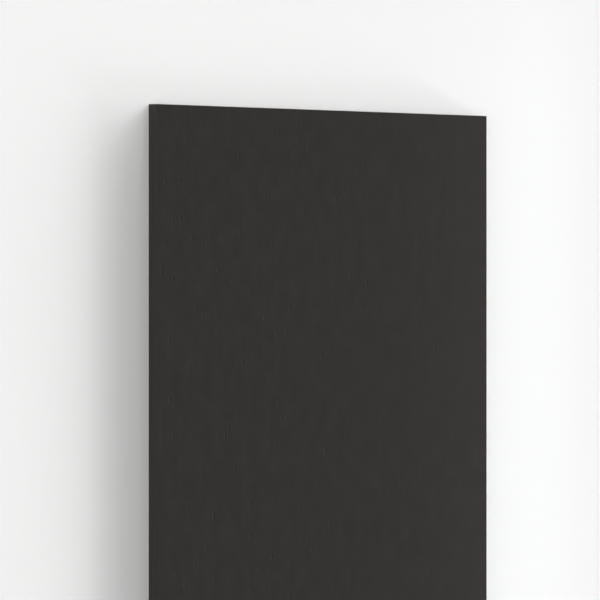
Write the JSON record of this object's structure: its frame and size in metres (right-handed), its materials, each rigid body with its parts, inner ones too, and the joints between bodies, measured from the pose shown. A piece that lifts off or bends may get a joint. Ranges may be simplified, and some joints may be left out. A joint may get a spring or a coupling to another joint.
{
  "type": "decorative laminate sheet",
  "caption": "Full-size flat sheet of solid compact-grade decorative laminate: charcoal decor with short grain pores on both faces, dark core, eased edges.",
  "frame": {"origin": "middle of the back face, which lies on the floor", "axes": "+X across the width, +Y along the length and the grain, +Z through the thickness, out of the decor face"},
  "size_m": [1.22, 2.44, 0.025],
  "materials": {
    "charcoal_laminate": "matte"
  },
  "bodies": {
    "root": {"laminate_sheet": "charcoal_laminate"}
  },
  "joints": []
}
